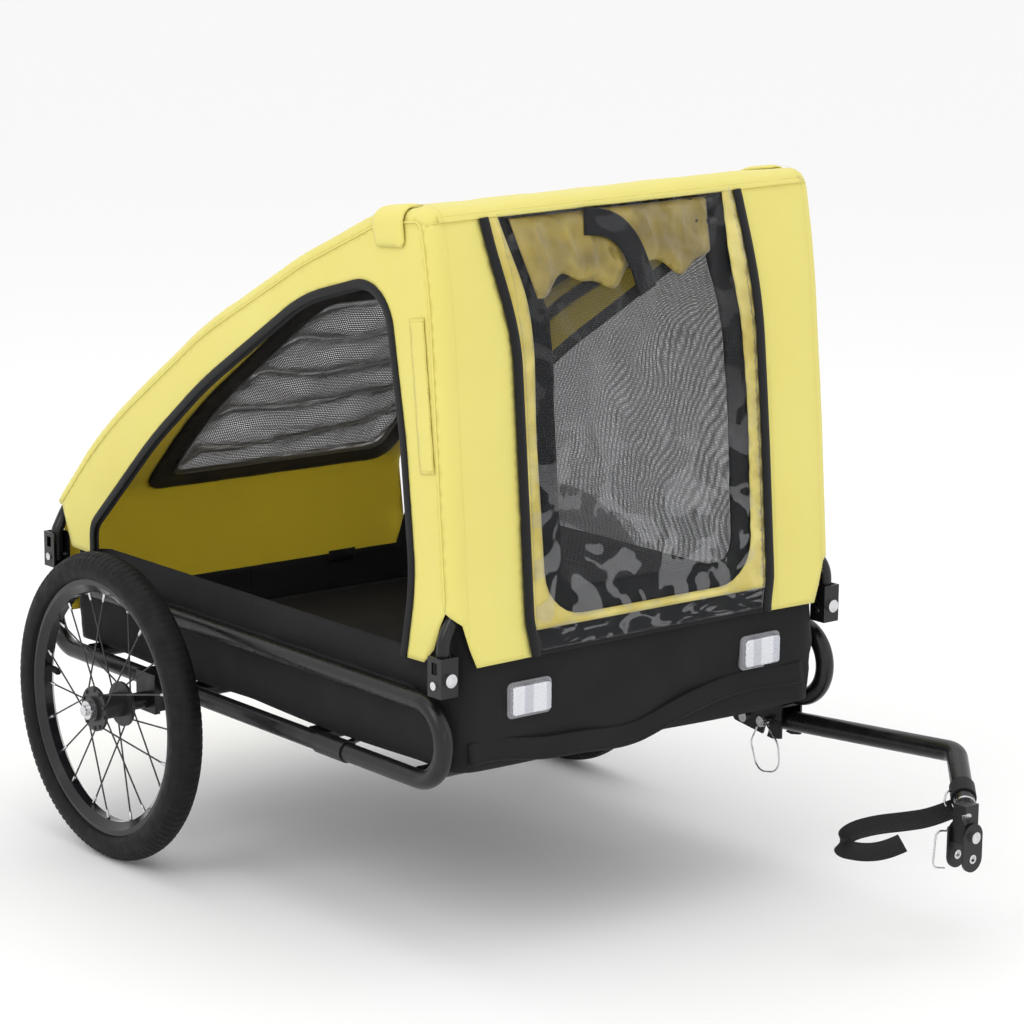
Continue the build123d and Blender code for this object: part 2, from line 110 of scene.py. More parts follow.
class Finish:
    """One procedural material, added to node by node."""

    def __init__(self, name, color, roughness, metallic=0.0, **sockets):
        self.material = bpy.data.materials.new(name)
        self.material.use_nodes = True
        self.tree = self.material.node_tree
        self.shader = self.tree.nodes["Principled BSDF"]
        self.color = (*color, 1)
        self.shader.inputs["Base Color"].default_value = self.color
        self.shader.inputs["Roughness"].default_value = roughness
        self.shader.inputs["Metallic"].default_value = metallic
        self.roughness = roughness
        self.normal = None
        for socket, value in sockets.items():
            self.shader.inputs[socket.replace("_", " ")].default_value = value

    def node(self, kind, inputs=(), **settings):
        made = self.tree.nodes.new("ShaderNode" + kind)
        for key, value in settings.items():
            setattr(made, key, value)
        for socket, value in dict(inputs).items():
            if isinstance(value, bpy.types.NodeSocket):
                self.tree.links.new(value, made.inputs[socket])
            else:
                made.inputs[socket].default_value = value
        return made

    def place(self, kind="Object"):
        return self.node("TexCoord").outputs[kind]

    def cloud(self, scale, detail=3.0, stretch=(1, 1, 1), **more):
        """Smooth noise, about 0.3 to 0.7."""
        mapped = self.node("Mapping", {"Vector": self.place(), "Scale": stretch})
        inputs = {"Vector": mapped.outputs[0], "Scale": scale, "Detail": detail, **more}
        return self.node("TexNoise", inputs).outputs["Fac"]

    def math(self, operation, a, b=0.0):
        return self.node("Math", {0: a, 1: b}, operation=operation).outputs[0]

    def span(self, value, low, high, to_low=0.0, to_high=1.0):
        inputs = {"Value": value, "From Min": low, "From Max": high, "To Min": to_low, "To Max": to_high}
        return self.node("MapRange", inputs).outputs[0]

    def tint(self, mask, color):
        """Mix the base colour towards another one where the mask is 1."""
        socket = self.shader.inputs["Base Color"]
        under = socket.links[0].from_socket if socket.links else self.color
        mixed = self.node("Mix", {0: mask, 6: under, 7: (*color, 1)}, data_type="RGBA")
        self.tree.links.new(mixed.outputs[2], socket)

    def vary_roughness(self, mask, spread):
        made = self.span(mask, 0.3, 0.7, self.roughness - spread, self.roughness + spread)
        self.tree.links.new(made, self.shader.inputs["Roughness"])

    def bump(self, height, strength, distance):
        inputs = {"Height": height, "Strength": strength, "Distance": distance}
        if self.normal:
            inputs["Normal"] = self.normal
        self.normal = self.node("Bump", inputs).outputs[0]
        self.tree.links.new(self.normal, self.shader.inputs["Normal"])

    def grid(self, pitch):
        """Sine ridges along both flat directions of the cloth, from -1 to 1."""
        parts = self.node("SeparateXYZ", {0: self.place("UV")})
        turns = 2 * math.pi / pitch
        return [self.math("SINE", self.math("MULTIPLY", parts.outputs[i], turns)) for i in (0, 1)]


def woven(name, color, worn, roughness, pitch, sheen=0.12, shine=0.3):
    """Plain weave with slack patches, slight fading and a soft sheen."""
    made = Finish(name, color, roughness, Sheen_Weight=sheen, Sheen_Roughness=0.5,
                  Specular_IOR_Level=shine)
    warp, weft = made.grid(pitch)
    made.tint(made.span(made.cloud(5.0), 0.35, 0.75, 0.0, 0.45), worn)
    made.tint(made.span(made.math("MULTIPLY", warp, weft), 0.2, 1.0, 0.0, 0.16), worn)
    made.vary_roughness(made.cloud(9.0), 0.07)
    made.bump(made.cloud(14.0, 4.0), 0.35, 0.004)
    made.bump(made.cloud(60.0, 3.0), 0.18, 0.001)
    made.bump(made.math("MULTIPLY", warp, weft), 0.35, 0.0002)
    return made.material


def satin(name, color, shade):
    """Thin glossy lining cloth."""
    made = Finish(name, color, 0.32, Sheen_Weight=0.3, Coat_Weight=0.25, Coat_Roughness=0.3)
    warp, weft = made.grid(0.0009)
    # Random patches blend towards the shade colour: painted shade standing in for the dark hollows of
    # crumpled satin.
    made.tint(made.span(made.cloud(14.0), 0.38, 0.62, 0.0, 0.9), shade)
    made.bump(made.cloud(30.0, 4.0), 0.6, 0.004)
    made.bump(made.math("ADD", warp, weft), 0.2, 0.0001)
    return made.material


def net(name, color, pitch, thread):
    """Open net: threads both ways with square holes between them."""
    made = Finish(name, color, 0.6, Sheen_Weight=0.2)
    ridges = [made.math("ABSOLUTE", part) for part in made.grid(2 * pitch)]
    hole = made.math("MINIMUM", *ridges)
    made.tint(made.span(made.cloud(20.0), 0.3, 0.7, 0.0, 0.4), [c * 0.6 for c in color])
    made.bump(hole, -0.5, 0.0004)
    made.tree.links.new(made.span(hole, thread, thread + 0.12, 1.0, 0.0), made.shader.inputs["Alpha"])
    return made.material


def clear_film(name):
    """Soft clear film: see-through, with painted reflections: grey glossy blotches, more of them low down
    and over the hem.
    """
    # The grey base colour, shown through the mix where the film turns away from view, paints its
    # reflection; the shader's own specular reflection is real.
    made = Finish(name, (0.30, 0.30, 0.32), 0.08, IOR=2.6, Specular_IOR_Level=1.0)
    made.bump(made.cloud(16.0, 2.0), 0.35, 0.004)
    made.bump(made.cloud(90.0, 2.0), 0.1, 0.0006)
    facing = made.node("LayerWeight", {"Blend": 0.5, "Normal": made.normal}).outputs["Facing"]
    share = made.span(made.math("POWER", facing, 5.0), 0.0, 1.0, 0.003, 0.9)
    height = made.node("SeparateXYZ", {0: made.place()}).outputs[2]
    near_bottom = made.span(height, 0.66, 0.46, 0.16, 1.0)
    hem = made.span(height, 0.405, 0.395)

    def reflection_blotches(scale, edge, stretch):
        return made.span(made.cloud(scale, 1.5, stretch, Distortion=1.6), edge, edge + 0.008)

    # Painted reflection: grey blotches of shine, broad ones growing towards the bottom and fine ones over
    # the hem.
    broad = made.math("MULTIPLY", reflection_blotches(17.0, 0.515, (1.0, 1.0, 0.8)), near_bottom)
    broad = made.math("MULTIPLY", broad, made.math("SUBTRACT", 1.0, hem))
    fine = made.math("MULTIPLY", reflection_blotches(42.0, 0.60, (0.5, 1.0, 1.4)), hem)
    painted_reflection = made.math("MULTIPLY", made.math("MAXIMUM", broad, fine), 0.11)
    see = made.node("BsdfTransparent", {"Color": (0.98, 0.985, 0.99, 1)})
    total = made.math("ADD", share, painted_reflection)
    mixed = made.node("MixShader", {0: total, 1: see.outputs[0], 2: made.shader.outputs[0]})
    made.tree.links.new(mixed.outputs[0], made.tree.nodes["Material Output"].inputs["Surface"])
    return made.material


def painted(name, color, roughness, scratch):
    """Powder coat: fine orange peel, dusty patches and edge rub."""
    made = Finish(name, color, roughness, Specular_IOR_Level=0.4)
    made.tint(made.span(made.cloud(30.0, 5.0), 0.55, 0.8, 0.0, 0.5), scratch)
    made.vary_roughness(made.cloud(45.0, 4.0), 0.08)
    made.bump(made.cloud(900.0, 2.0), 0.15, 0.0002)
    return made.material


def bright_metal(name, color, roughness):
    """Zinc plating with fine drawn lines and dull spots."""
    made = Finish(name, color, roughness, metallic=1.0)
    made.tint(made.span(made.cloud(120.0, 5.0), 0.45, 0.75), [c * 0.7 for c in color])
    made.vary_roughness(made.cloud(300.0, 3.0), 0.1)
    made.bump(made.cloud(400.0, 2.0, stretch=(1, 12, 1)), 0.12, 0.0001)
    return made.material


def rubber(name):
    made = Finish(name, (0.006, 0.006, 0.007), 0.6, Specular_IOR_Level=0.2)
    made.tint(made.span(made.cloud(40.0, 5.0), 0.5, 0.8, 0.0, 0.6), (0.014, 0.014, 0.014))
    made.vary_roughness(made.cloud(70.0, 4.0), 0.1)
    made.bump(made.cloud(700.0, 3.0), 0.3, 0.0003)
    return made.material


def moulded(name, color, roughness):
    made = Finish(name, color, roughness)
    made.tint(made.span(made.cloud(60.0, 3.0), 0.5, 0.8, 0.0, 0.4), [c * 2 for c in color])
    made.vary_roughness(made.cloud(150.0, 3.0), 0.06)
    made.bump(made.cloud(1200.0, 2.0), 0.2, 0.0002)
    return made.material


def reflector_lens(name):
    """Prismatic reflector: upright bands of fine corner cubes under a clear skin."""
    made = Finish(name, (0.70, 0.71, 0.75), 0.2, metallic=0.55, Coat_Weight=1.0, Coat_Roughness=0.04)
    parts = made.node("SeparateXYZ", {0: made.place()})
    bands = made.math("SINE", made.math("MULTIPLY", parts.outputs[0], 190.0))
    made.tint(made.span(bands, 0.1, 0.5, 0.0, 0.75), (0.45, 0.46, 0.52))
    cells = made.node("TexVoronoi", {"Vector": made.place(), "Scale": 520.0})
    made.bump(cells.outputs["Distance"], 0.7, 0.0008)
    return made.material


def webbing(name):
    """Ribbed woven strap."""
    made = Finish(name, (0.012, 0.012, 0.013), 0.68, Sheen_Weight=0.06, Specular_IOR_Level=0.2)
    along, across_it = made.grid(0.0024)
    made.tint(made.span(along, 0.0, 1.0, 0.0, 0.5), (0.028, 0.028, 0.03))
    made.bump(made.math("ADD", along, made.math("MULTIPLY", across_it, 0.5)), 0.6, 0.0005)
    made.bump(made.cloud(300.0), 0.2, 0.0003)
    return made.material


YELLOW = (0.76, 0.68, 0.19)
# Inner faces of the cloth take a deeper, more orange yellow: painted light shining through the cloth.
YELLOW_LIT_THROUGH = (0.84, 0.64, 0.030)
BLACK = (0.009, 0.009, 0.010)
cloth_yellow = woven("cloth_yellow", YELLOW, (0.70, 0.61, 0.14), 0.62, 0.0011)
lining_lit_through = woven("lining_lit_through", YELLOW_LIT_THROUGH, (0.72, 0.53, 0.02), 0.7, 0.0011)
satin_yellow = satin("satin_yellow", (0.80, 0.67, 0.18), (0.55, 0.43, 0.06))
# The rolled shade's satin is this satin made darker: painted shade of the cabin's inside behind the clear
# cover.
satin_shaded_ochre = satin("satin_shaded_ochre", (0.40, 0.29, 0.035), (0.17, 0.115, 0.008))
cloth_black = woven("cloth_black", BLACK, (0.014, 0.014, 0.015), 0.66, 0.0013, 0.04, 0.16)
tape_black = woven("tape_black", (0.009, 0.009, 0.010), (0.016, 0.016, 0.018), 0.58, 0.0016, 0.04, 0.18)
thread = moulded("thread", (0.62, 0.52, 0.12), 0.6)
net_black = net("net_black", (0.025, 0.025, 0.027), 0.0020, 0.30)
net_dark = net("net_dark", (0.03, 0.03, 0.032), 0.0026, 0.60)
net_grey = net("net_grey", (0.50, 0.50, 0.52), 0.0020, 0.44)
film = clear_film("clear_film")
frame_black = painted("frame_black", (0.006, 0.006, 0.007), 0.30, (0.016, 0.016, 0.017))
rim_black = painted("rim_black", (0.012, 0.012, 0.014), 0.16, (0.03, 0.03, 0.03))
spoke_black = painted("spoke_black", (0.03, 0.03, 0.032), 0.3, (0.09, 0.09, 0.09))
zinc = bright_metal("zinc", (0.66, 0.66, 0.68), 0.24)
tyre_rubber = rubber("tyre_rubber")
hub_plastic = moulded("hub_plastic", (0.02, 0.02, 0.021), 0.42)
lens_silver = reflector_lens("lens_silver")
lens_rim = moulded("lens_rim", (0.22, 0.22, 0.235), 0.35)
strap_black = webbing("strap_black")

# The finish that a CAD node takes from its slot
FINISHES = {"frame_black": frame_black, "tyre_rubber": tyre_rubber, "rim_black": rim_black,
            "spoke_black": spoke_black, "hub_black": hub_plastic, "zinc": zinc,
            "cloth_yellow": cloth_yellow, "cloth_black": cloth_black, "mesh_grey": net_grey,
            "mesh_white": net_grey, "clear_film": film, "lens_silver": lens_silver,
            "webbing_black": strap_black, "piping_black": tape_black}

SIDE_NAMES = {-1: "right", 1: "left"}
RING_SHARE = 0.3          # a sheet that fills less than this of its own box is a ring


def finish_cad_nodes():
    for part in frame["record"]["subparts"]:
        data = nodes[part["node"]].data
        chosen = lens_rim if part["node"] == "reflector_frames" else FINISHES[part["material_slot"]]
        data.materials.clear()
        data.materials.append(chosen)


finish_cad_nodes()


# ---- building tools ----

def build(name, vertices, faces, material, body="chassis", replaced=()):
    """A mesh piece that rides on a body."""
    mesh = bpy.data.meshes.new(name)
    mesh.from_pydata([tuple(v) for v in vertices], [], faces)
    mesh.shade_smooth()
    piece = bpy.data.objects.new(name, mesh)
    bpy.context.scene.collection.objects.link(piece)
    mesh.materials.append(material)
    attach(piece, body)
    if replaced:
        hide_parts(*replaced)
    return piece


def folds_away(piece):
    """Gives the piece its own copy of its mesh."""
    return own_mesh(piece)


def swept(name, path, normals, section, material, body="chassis", closed=False, replaced=()):
    """A strip along a path: each section point is (across, out) from the path."""
    count, around = len(path), len(section)
    vertices, marks, run = [], [], 0.0
    for i, (p, n) in enumerate(zip(path, normals)):
        before = path[i - 1] if i or closed else p
        after = path[(i + 1) % count] if i + 1 < count or closed else p
        ahead = (after - before).normalized()
        side = ahead.cross(n).normalized()
        out = side.cross(ahead)
        vertices += [p + side * a + out * b for a, b in section]
        run += (p - before).length
        marks.append(run)
    faces, flat = [], []
    lengths = [a for a, _ in section]
    for i in range(count if closed else count - 1):
        j = (i + 1) % count
        for k in range(around):
            m = (k + 1) % around
            faces.append((i * around + k, i * around + m, j * around + m, j * around + k))
            far = marks[j] if j else marks[-1] + (path[0] - path[-1]).length
            flat += [(lengths[k], marks[i]), (lengths[m], marks[i]),
                     (lengths[m], far), (lengths[k], far)]
    if not closed:
        faces.append(tuple(reversed(range(around))))
        faces.append(tuple((count - 1) * around + k for k in range(around)))
        flat += [(0, 0)] * (2 * around)
    piece = build(name, vertices, faces, material, body, replaced)
    layer = piece.data.uv_layers.new(name="cut")
    for loop, uv in zip(layer.data, flat):
        loop.uv = uv
    return piece


def flat_section(width, thickness):
    """A strip's section: flat with rounded edges, standing on the surface."""
    w, t = width / 2, thickness
    return [(-w, 0), (-w, t * 0.6), (-w + t, t), (0, t * 1.08),
            (w - t, t), (w, t * 0.6), (w, 0), (0, -t * 0.2)]


def round_section(radius, sides=10):
    turns = [2 * math.pi * i / sides for i in range(sides)]
    return [(radius * math.cos(a), radius * math.sin(a)) for a in turns]


def rounded(points, radii, step=0.012, closed=False):
    """The corners of an outline rounded by arcs."""
    points = [Vector(p) for p in points]
    if closed:
        corners = list(zip(points[-1:] + points[:-1], points, points[1:] + points[:1]))
        line = []
    else:
        corners = list(zip(points, points[1:], points[2:]))
        line = [points[0]]
    for (a, b, c), radius in zip(corners, radii):
        to_a, to_c = (a - b).normalized(), (c - b).normalized()
        half = to_a.angle(to_c) / 2
        centre = b + (to_a + to_c).normalized() * (radius / math.sin(half))
        start, end = b + to_a * (radius / math.tan(half)), b + to_c * (radius / math.tan(half))
        first = math.atan2(*(start - centre).yx)
        turn = math.remainder(math.atan2(*(end - centre).yx) - first, 2 * math.pi)
        parts = max(3, round(abs(turn) * radius / step))
        for i in range(parts + 1):
            angle = first + turn * i / parts
            line.append(centre + Vector((math.cos(angle), math.sin(angle))) * radius)
    return line if closed else line + [points[-1]]


def divided(line, step, closed=False):
    """The same line with no run longer than a step."""
    ends = line[1:] + line[:1] if closed else line[1:]
    made = []
    for a, b in zip(line, ends):
        parts = max(1, round((b - a).length / step))
        made += [a.lerp(b, i / parts) for i in range(parts)]
    return made if closed else made + [line[-1]]


def inside(points, loop):
    """Which points lie in a closed outline."""
    x, y = points[:, 0], points[:, 1]
    result = np.zeros(len(points), bool)
    for (xa, ya), (xb, yb) in zip(loop, np.roll(loop, -1, 0)):
        crosses = (ya > y) != (yb > y)
        with np.errstate(divide="ignore", invalid="ignore"):
            result ^= crosses & (x < (xb - xa) * (y - ya) / (yb - ya) + xa)
    return result


def within(points, loops):
    """Which points lie in the first outline and in none of the others."""
    result = inside(points, loops[0])
    for hole in loops[1:]:
        result &= ~inside(points, hole)
    return result


def edge_distance(points, loops):
    edge = np.concatenate(loops)
    return np.sqrt(((points[:, None] - edge[None]) ** 2).sum(2).min(1))


def meshed(loops, spacing):
    """Even triangles inside the first outline and outside the others: flat points and faces."""
    low, high = loops[0].min(0), loops[0].max(0)
    row_height = spacing * 0.87
    rows = int((high[1] - low[1]) / row_height) + 1
    columns = int((high[0] - low[0]) / spacing) + 2
    grid = np.array([(low[0] + (c + 0.5 * (r % 2)) * spacing, low[1] + r * row_height)
                     for r in range(rows) for c in range(columns)])
    grid = grid[within(grid, loops)]
    grid = grid[edge_distance(grid, loops) > 0.55 * spacing]
    points = np.concatenate([*loops, grid])
    rims, start = [], 0
    for loop in loops:
        rims += [(start + i, start + (i + 1) % len(loop)) for i in range(len(loop))]
        start += len(loop)
    flat, _, triangles, *_ = delaunay_2d_cdt([Vector(p) for p in points], rims, [], 0, 1e-7)
    flat = np.array([tuple(p) for p in flat])
    triangles = [t for t in triangles if len(set(t)) == 3]
    wanted = within(np.array([flat[list(t)].mean(0) for t in triangles]), loops)
    triangles = [t for t, w in zip(triangles, wanted) if w]
    used = sorted({i for t in triangles for i in t})
    renumber = {old: new for new, old in enumerate(used)}
    return flat[used], [tuple(renumber[i] for i in t) for t in triangles]


def cut(name, outline, place, material, body="chassis", spacing=0.009, holes=(),
        thickness=0.0012, lining=None, mirrored=False, replaced=(),
        folding=True):
    """A sheet cut to a flat outline and put in place by place(u, v, distance from its edge)."""
    loops = [np.array([tuple(p) for p in divided([Vector(p) for p in line], spacing, True)])
             for line in (outline, *holes)]
    flat, faces = meshed(loops, spacing)
    if mirrored:
        faces = [tuple(reversed(f)) for f in faces]
    vertices = [place(u, v, d) for (u, v), d in zip(flat, edge_distance(flat, loops))]
    piece = build(name, vertices, faces, material, body, replaced)
    piece.data.materials.append(lining or material)
    layer = piece.data.uv_layers.new(name="cut")
    layer.data.foreach_set("uv", flat[[i for f in faces for i in f]].ravel())
    if folding:
        folds_away(piece)
    wall = piece.modifiers.new("wall", "SOLIDIFY")
    wall.thickness, wall.offset = thickness, -1
    wall.material_offset, wall.material_offset_rim = 1, 0
    area = sum(abs(shoelace(flat[list(f)])) for f in faces)
    width, length = loops[0].max(0) - loops[0].min(0)
    if area < RING_SHARE * width * length:       # a ring is cut as one long tape
        length = sum(np.linalg.norm(line - np.roll(line, -1, 0), axis=1).sum() for line in loops) / 2
        width = area / length * 1.001
    return piece


def shoelace(corners):
    (ax, ay), (bx, by), (cx, cy) = corners
    return ((bx - ax) * (cy - ay) - (cx - ax) * (by - ay)) / 2


def rise(distance, reach):
    """0 at an edge and 1 from reach inwards, smoothly."""
    t = min(1.0, max(0.0, distance / reach))
    return t * t * (3 - 2 * t)


def runs_along(line):
    """How far along a line each of its points lies."""
    return np.concatenate([[0], np.cumsum([(b - a).length for a, b in zip(line, line[1:])])])


def creases(point, size, seed=0.0, octaves=3):
    """Soft cloth folds, about -1 to 1."""
    place = Vector(point) / size + Vector((seed, seed * 1.7, seed * 0.3))
    return noise.fractal(place, 1.0, 2.1, octaves)


def sharp_folds(point, size, seed=0.0):
    """Crumpled cloth: ridges with hollows between, 0 to 1."""
    place = Vector(point) / size + Vector((seed, seed, seed))
    return 1.0 - min(1.0, abs(noise.fractal(place, 0.9, 2.2, 3)) * 2.2)


# ---- the cabin's outer surface ----

OUTLINE = [(-0.620, 0.360), (-0.583, 0.790), (-0.563, 0.884), (-0.470, 0.872), (-0.319, 0.809),
           (-0.104, 0.700), (0.135, 0.540), (0.262, 0.412), (0.240, 0.262)]
OUTLINE_R = [0.9, 0.026, 0.09, 0.42, 0.7, 0.9, 0.03]
EDGE_R = 0.014            # rounding along the cabin's long edges
HALF_CUT = COVER_X - EDGE_R + EDGE_R * math.pi / 2     # half width of the wrapper, laid flat
LEAN_UP, LEAN_BACK = 0.014, 0.007                      # slack pull of the cabin's left top corner
side_line = divided(rounded(OUTLINE, OUTLINE_R, 0.006), 0.006)
side_runs = runs_along(side_line)
side_y = np.array([p.x for p in side_line])
side_z = np.array([p.y for p in side_line])
SIDE_LENGTH = float(side_runs[-1])
PEAK = int(side_z.argmax())


def run_at_height(z):
    """How far along the outline the front face reaches a height."""
    return float(np.interp(z, side_z[:PEAK], side_runs[:PEAK]))


def run_at_depth(y):
    """How far along the outline the roof reaches a depth."""
    return float(np.interp(y, side_y[PEAK:-30], side_runs[PEAK:-30]))


def run_at_rear(z):
    tail = len(side_z) // 2
    return float(np.interp(-z, -side_z[tail:], side_runs[tail:]))


def outline_at(run):
    """Point and outward direction of the outline, both as (y, z)."""
    def spot(r):
        return Vector((float(np.interp(r, side_runs, side_y)), float(np.interp(r, side_runs, side_z))))
    ahead = (spot(min(run + 0.004, SIDE_LENGTH)) - spot(max(run - 0.004, 0))).normalized()
    return spot(run), Vector((-ahead.y, ahead.x))


def pulled(x, y, z):
    """The cabin's left top corner stands a little higher and further back than the right one."""
    share = rise(z - 0.55, 0.30) * (0.5 + 0.5 * max(-1.0, min(1.0, x / COVER_X)))
    back = share * LEAN_BACK * rise(-0.40 - y, 0.12)
    return at(x, y + back, z + share * LEAN_UP * rise(-0.10 - y, 0.35))


def skin(x, run, lift=0.0):
    """A point of the cabin's wrapper: flat distance x across, run along the outline, lifted outwards."""
    over = max(0.0, abs(x) - (COVER_X - EDGE_R))
    turn = min(over / EDGE_R, math.pi / 2)
    if over:
        x = math.copysign(COVER_X - EDGE_R + (EDGE_R + lift) * math.sin(turn), x)
    p, out = outline_at(run)
    p = p + out * (lift * math.cos(turn) - EDGE_R * (1 - math.cos(turn)))
    return pulled(x, p.x, p.y)


def skin_normal(run):
    out = outline_at(run)[1]
    return Vector((0, out.x, out.y))


HEADER_Z = 0.866
HEADER = run_at_height(HEADER_Z)
ZIP_X = 0.191
BOTTOM = run_at_height(CLOTH_LOW + 0.002)
REAR_END = run_at_rear(0.267)


def cloth_lift(depth, p, bulge=0.004, folds=0.0016):
    return rise(depth, 0.07) * bulge + rise(depth, 0.03) * folds * creases(p, 0.09, 2.0)


def zip_x(run):
    """Half the distance between the zips: wider at the top, drawn in at the very bottom."""
    return ZIP_X + 0.006 * rise(run - run_at_height(0.70), 0.16) - 0.007 * (1 - rise(run - BOTTOM, 0.05))


def lean(run):
    """Sideways drift of the door towards its top."""
    return -0.027 * rise(run - run_at_height(0.695), 0.20)


def door_skin(x, run, lift=0.0):
    return skin(x + lean(run), run, lift)


def front_strip(side):
    """Yellow strip between the zip and the cabin's front corner."""
    inner = [(side * zip_x(r) + lean(r) + side * 0.002, r) for r in np.linspace(BOTTOM, HEADER + 0.006, 30)]
    low = [(0.268, CLOTH_LOW + 0.001), (0.277, 0.384), (0.286, 0.413), (HALF_CUT, 0.428)]
    outer = [(side * x, run_at_height(z)) for x, z in low] + [(side * HALF_CUT, HEADER + 0.006)]
    outline = inner + outer[::-1]
    if side > 0:
        outline = outline[::-1]

    def place(x, run, depth):
        return skin(x, run, cloth_lift(depth, (x, run, 0), 0.003, 0.0018))

    cut(f"{SIDE_NAMES[side]}_front_strip", outline, place, cloth_yellow, lining=lining_lit_through,
        replaced=("front_panel",))


for side in (-1, 1):
    front_strip(side)

WINDOW_LOW_Z, WINDOW_TOP_Y = 0.442, -0.140
REAR_WINDOW = [(-0.125, run_at_rear(WINDOW_LOW_Z)), (-0.125, run_at_depth(WINDOW_TOP_Y)),
               (0.222, run_at_depth(WINDOW_TOP_Y)), (0.222, run_at_rear(WINDOW_LOW_Z))]


def window_outline(by, radius):
    """The rear window's outline moved outwards all round, with round corners."""
    middle_x = sum(p[0] for p in REAR_WINDOW) / 4
    middle_y = sum(p[1] for p in REAR_WINDOW) / 4
    corners = [(x + math.copysign(by, x - middle_x), y + math.copysign(by, y - middle_y))
               for x, y in REAR_WINDOW]
    return rounded(corners, [radius] * 4, closed=True)


def roof():
    """Yellow wrapper over the roof and down the back, with a hole for the rear window."""
    notch = run_at_rear(0.425)
    outline = [(-HALF_CUT, HEADER), (HALF_CUT, HEADER), (HALF_CUT, notch), (0.284, notch + 0.012),
               (0.284, REAR_END), (-0.284, REAR_END), (-0.284, notch + 0.012), (-HALF_CUT, notch)]

    def place(x, run, depth):
        over_seam = 0.0012 * rise(HALF_CUT - abs(x), 0.02)
        return skin(x, run, over_seam + cloth_lift(depth, (x, run, 1), 0.0015, 0.0022))

    cut("roof_cloth", outline, place, cloth_yellow, lining=lining_lit_through,
        holes=[window_outline(0.030, 0.03)], replaced=("roof_panel",))


roof()


def rear_window():
    """Slack net in a broad black border."""
    def place(x, run, depth):
        swag = rise(depth, 0.12) * 0.016 + rise(depth, 0.04) * 0.008 * math.sin(run * 62 + x * 9)
        return skin(x, run, -0.004 - swag - 0.003 * creases((x, run * 2, 0), 0.05, 4.0) * rise(depth, 0.03))

    cut("rear_window_net", window_outline(0.006, 0.02), place, net_dark, thickness=0.0006,
        replaced=("rear_window_mesh",))

    def border(x, run, depth):
        return skin(x, run, -0.0015 + 0.0008 * creases((x, run, 5), 0.04))

    cut("rear_window_border", window_outline(0.036, 0.03), border, tape_black,
        holes=[window_outline(0, 0.02)], thickness=0.0016)


rear_window()


# ---- side panels ----

WINDOW_LINE = [(-0.524, CLOTH_LOW), (-0.541, 0.456), (-0.522, 0.616), (-0.487, 0.800), (-0.326, 0.757),
               (-0.110, 0.626), (0.007, 0.538), (0.158, 0.400), (0.158, CLOTH_LOW)]
WINDOW_R = [0.25, 0.6, 0.055, 0.30, 0.9, 0.9, 0.03]
window_edge = divided(rounded(WINDOW_LINE, WINDOW_R, 0.008), 0.012)


def inset_outline(distance):
    line = []
    for run in np.linspace(run_at_height(0.428), run_at_rear(0.425), 170):
        p, out = outline_at(float(run))
        line.append(p - out * distance)
    return line


def side_wall(side):
    """Yellow side cut out round its opening."""
    name = SIDE_NAMES[side]
    outer = inset_outline(EDGE_R)
    rear = [(0.236, 0.418), (0.224, 0.388), (0.212, CLOTH_LOW + 0.001)]
    front = [(-0.561, CLOTH_LOW + 0.001), (-0.579, 0.380), (-0.592, 0.412)]
    outline = outer + [Vector(p) for p in rear] + window_edge[::-1] + [Vector(p) for p in front]

    def place(y, z, depth):
        return pulled(side * (COVER_X + cloth_lift(depth, (y, z, side), 0.0015, 0.0014)), y, z)

    cut(f"{name}_side_cloth", outline, place, cloth_yellow, lining=lining_lit_through,
        mirrored=side < 0, replaced=(f"{name}_side_panel",))


def window_piping(side):
    name = SIDE_NAMES[side]
    path = [pulled(side * (COVER_X + 0.0006), p.x, p.y) for p in window_edge]
    normals = [Vector((side, 0, 0))] * len(path)
    piece = swept(f"{name}_window_piping", path, normals, flat_section(0.011, 0.0022), tape_black)
    inner = [pulled(side * (COVER_X - 0.0030), p.x, p.y) for p in window_edge]
    lining = swept(f"{name}_window_binding", inner, [Vector((-side, 0, 0))] * len(path),
                   flat_section(0.016, 0.0018), tape_black)
    folds_away(piece)
    folds_away(lining)


for side in (-1, 1):
    side_wall(side)
    window_piping(side)


def left_window():
    def place(y, z, depth):
        sag = rise(depth, 0.08) * 0.006 + 0.003 * creases((y, z, 0), 0.08, 7.0) * rise(depth, 0.03)
        return pulled(COVER_X - 0.0022 - sag, y, z)

    cut("left_window_net", window_edge, place, net_grey, thickness=0.0006,
        replaced=("left_window_mesh",))


left_window()


# ---- front door: yellow border, bound net, crumpled shade and clear cover ----

PANE_LOW = 0.404


def both_halves(right):
    """An outline from its right half, mirrored about the middle."""
    return right + [(-x, r) for x, r in right[::-1]]


def door_loop(grow):
    """Rounded pane outline on the front face, larger by grow, as (x, run)."""
    half_low, half_mid, half_top = 0.163 + grow, 0.167 + grow, 0.176 + grow
    low = PANE_LOW - grow
    corners = [(-half_low, low), (half_low, low), (half_mid, 0.62), (half_mid - 0.006, 0.78),
               (half_top, HEADER_Z + 0.004), (-half_top, HEADER_Z + 0.004), (-half_mid + 0.006, 0.78),
               (-half_mid, 0.62)]
    line = rounded([(x, run_at_height(z)) for x, z in corners],
                   [0.055 + grow, 0.055 + grow, 0.9, 0.25, 0.004, 0.004, 0.25, 0.9], closed=True)
    return divided(line, 0.009, True)


